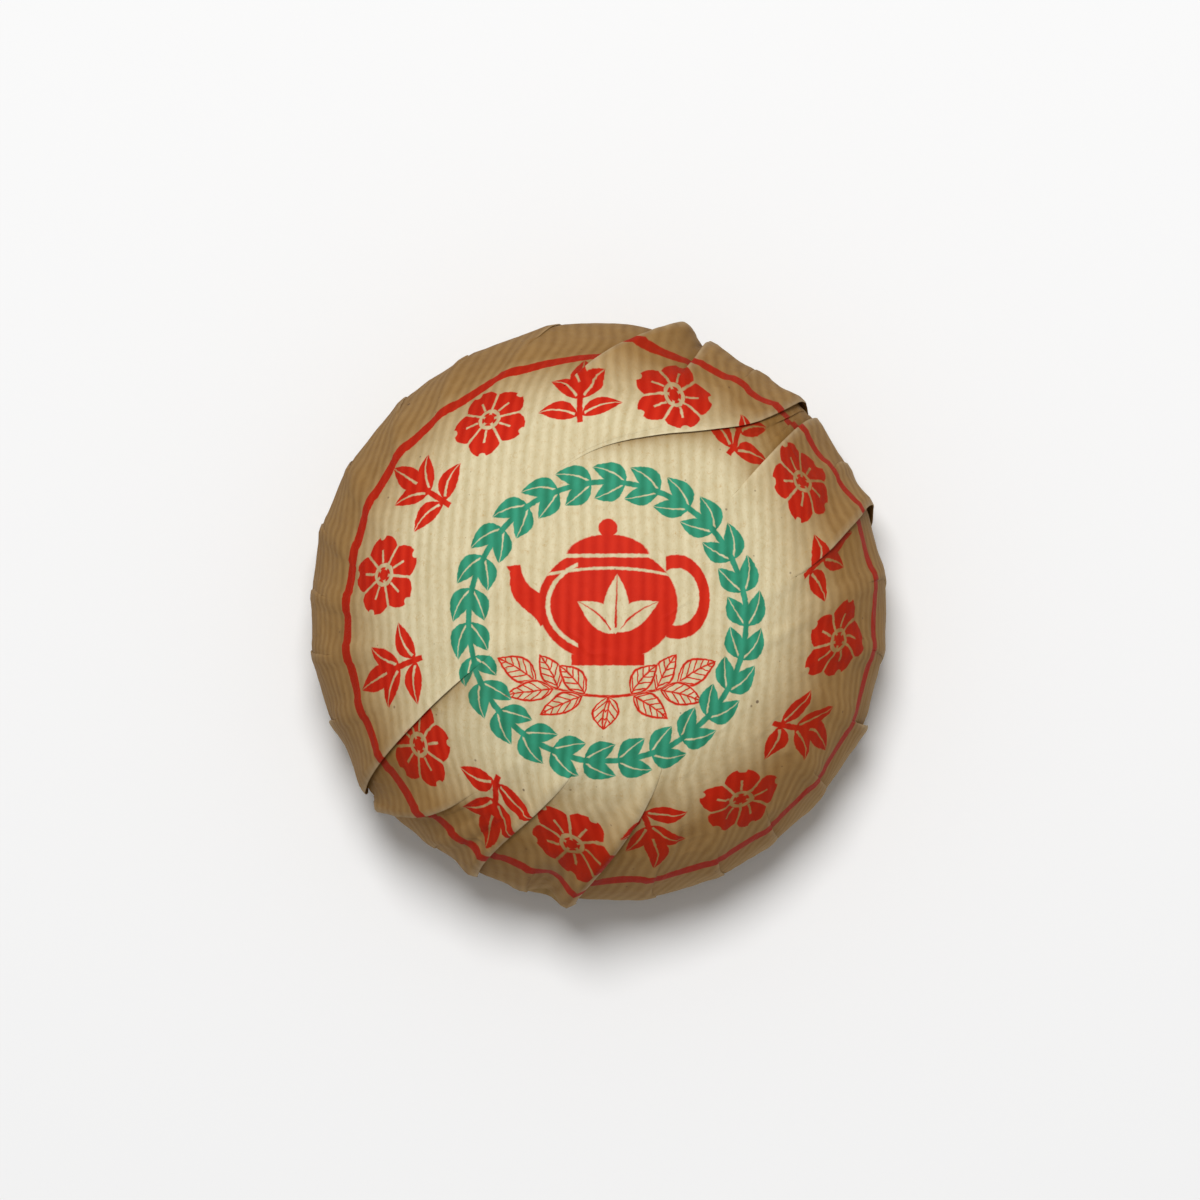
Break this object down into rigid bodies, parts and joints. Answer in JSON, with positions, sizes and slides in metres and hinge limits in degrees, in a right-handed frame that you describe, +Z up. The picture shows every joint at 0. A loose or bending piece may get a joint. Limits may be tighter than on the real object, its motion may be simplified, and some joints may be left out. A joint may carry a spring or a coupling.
{
  "type": "wrapped pu-erh tuocha",
  "caption": "Dome of pressed tea shut in a printed paper wrapper with knife pleats, hollow below, resting on its foot ring.",
  "frame": {"origin": "centre of the foot ring, on the surface that the part stands on", "axes": "+Z up through the top of the dome; the camera of the picture looks down from the +X, -Y side"},
  "size_m": [0.0827, 0.0831, 0.0435],
  "materials": {
    "wrapper_paper": "ribbed uncoated wrapping paper with a red and green print"
  },
  "bodies": {
    "root": {"wrapped_tuocha": "wrapper_paper"}
  },
  "joints": []
}
